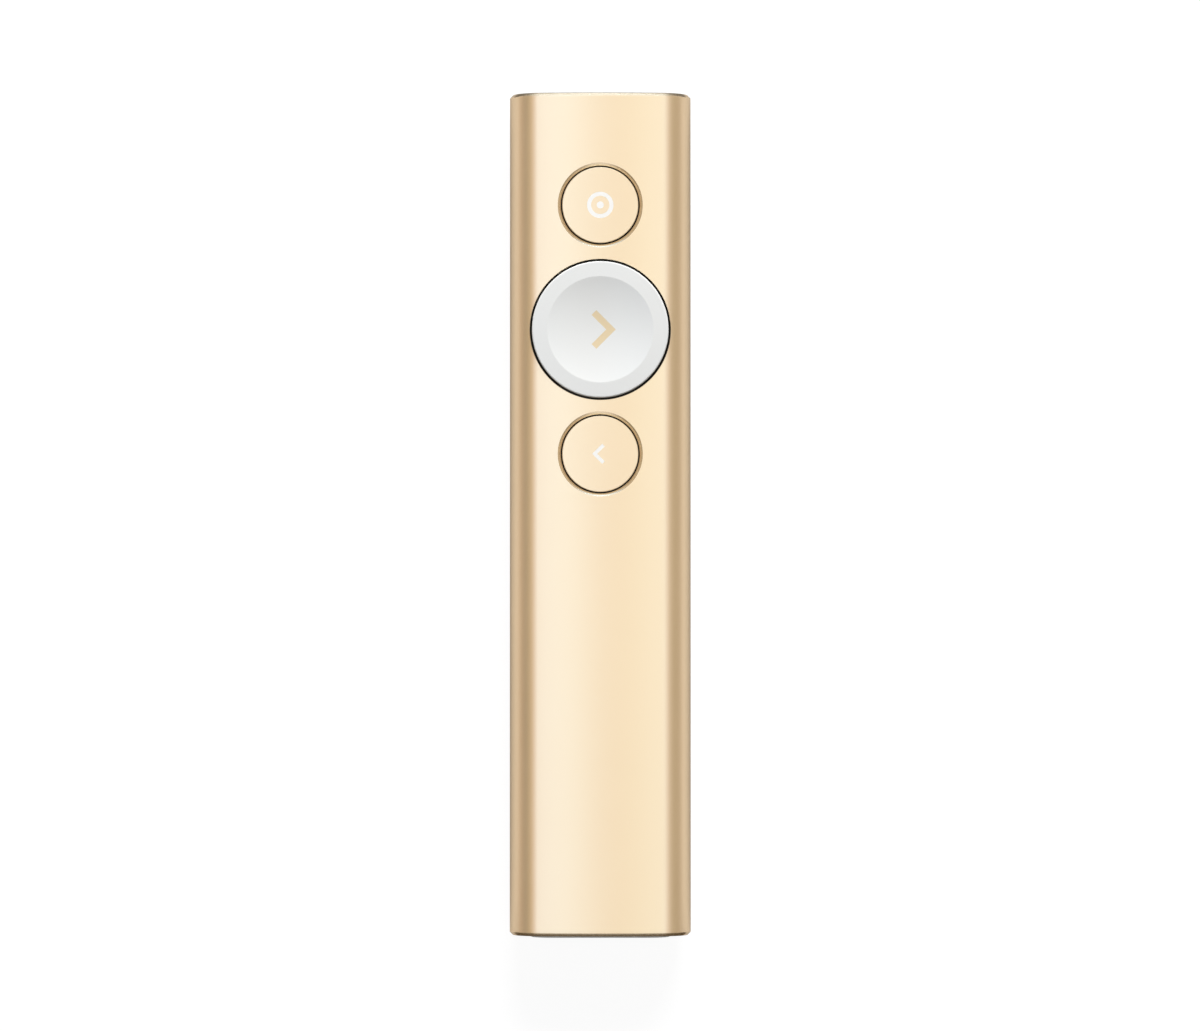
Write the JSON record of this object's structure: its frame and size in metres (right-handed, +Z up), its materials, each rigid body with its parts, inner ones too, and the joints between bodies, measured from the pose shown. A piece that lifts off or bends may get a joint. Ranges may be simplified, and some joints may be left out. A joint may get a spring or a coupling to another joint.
{
  "type": "wireless presentation clicker",
  "caption": "Slim handheld wireless presentation clicker: an aluminium body with pressable round buttons on its crowned face and a receiver that pulls out of its tail.",
  "frame": {"origin": "under the middle of the whole object, in the plane of the body's flat back", "axes": "X across the body, +Y along it towards the pointer-button end, +Z up out of the button face"},
  "size_m": [0.0282, 0.1314, 0.0121],
  "materials": {
    "gold_anodised": "satin bead-blasted, champagne gold anodised",
    "white_gloss": "moulded, lightly polished white",
    "sign_gold": "moulded inlay, gold tint",
    "sign_white": "white fill in an engraved sign",
    "grey_plastic": "fine spark-eroded moulding texture, light grey",
    "dark_plastic": "moulded, near black",
    "clear_plastic": "frosted clear moulding",
    "plug_steel": "nickel-plated pressed sheet",
    "screw_steel": "zinc plated",
    "contact_gold": "gold-plated contact",
    "board_green": "solder-masked laminate",
    "chip_black": "moulded epoxy package",
    "chip_tan": "ceramic chip",
    "battery_pouch": "aluminium laminate pouch",
    "foam_black": "foam adhesive pad",
    "lead_red": "wire insulation",
    "plug_cream": "natural nylon",
    "led_white": "lamp package"
  },
  "bodies": {
    "body": {"body_shell": "gold_anodised", "front_cap": "grey_plastic", "light_pipe": "clear_plastic", "tail_cap": "grey_plastic", "tail_screws": "screw_steel", "receiver_bay": "dark_plastic", "charge_port_shell": "plug_steel", "charge_port_tongue": "dark_plastic", "inner_tray": "dark_plastic", "main_board": "board_green", "board_parts": "chip_tan", "battery": "battery_pouch", "battery_pad": "foam_black", "battery_leads": "lead_red", "battery_plug": "plug_cream", "vibration_motor": "plug_steel", "motor_pad": "foam_black", "radio_shield": "plug_steel", "processor": "chip_black", "motion_sensor": "chip_black", "antenna": "plug_cream", "status_led": "led_white", "button_frame": "dark_plastic", "frame_screws": "screw_steel", "pointer_switch": "chip_black", "next_switch": "chip_black", "back_switch": "chip_black"},
    "pointer_button": {"pointer_cap": "gold_anodised", "pointer_sign": "sign_white", "pointer_base": "dark_plastic", "pointer_plunger": "plug_cream"},
    "next_button": {"next_cap": "white_gloss", "next_sign": "sign_gold", "next_base": "dark_plastic", "next_plunger": "plug_cream"},
    "back_button": {"back_cap": "gold_anodised", "back_sign": "sign_white", "back_base": "dark_plastic", "back_plunger": "plug_cream"},
    "receiver": {"receiver_case": "grey_plastic", "receiver_board": "board_green", "receiver_plug_shell": "plug_steel", "receiver_tongue": "dark_plastic", "receiver_contacts": "contact_gold"}
  },
  "joints": [
    {"name": "pointer_press", "type": "slide", "parent": "body", "child": "pointer_button", "axis": [0, 0, -1], "range_m": [0, 0.00045], "stiffness_N_per_m": 1500, "springref_m": -0.0004},
    {"name": "next_press", "type": "slide", "parent": "body", "child": "next_button", "axis": [0, 0, -1], "range_m": [0, 0.00045], "stiffness_N_per_m": 1500, "springref_m": -0.0004},
    {"name": "back_press", "type": "slide", "parent": "body", "child": "back_button", "axis": [0, 0, -1], "range_m": [0, 0.00045], "stiffness_N_per_m": 1500, "springref_m": -0.0004},
    {"name": "receiver_pull", "type": "slide", "parent": "body", "child": "receiver", "axis": [0, -1, 0], "range_m": [0, 0.03]}
  ]
}
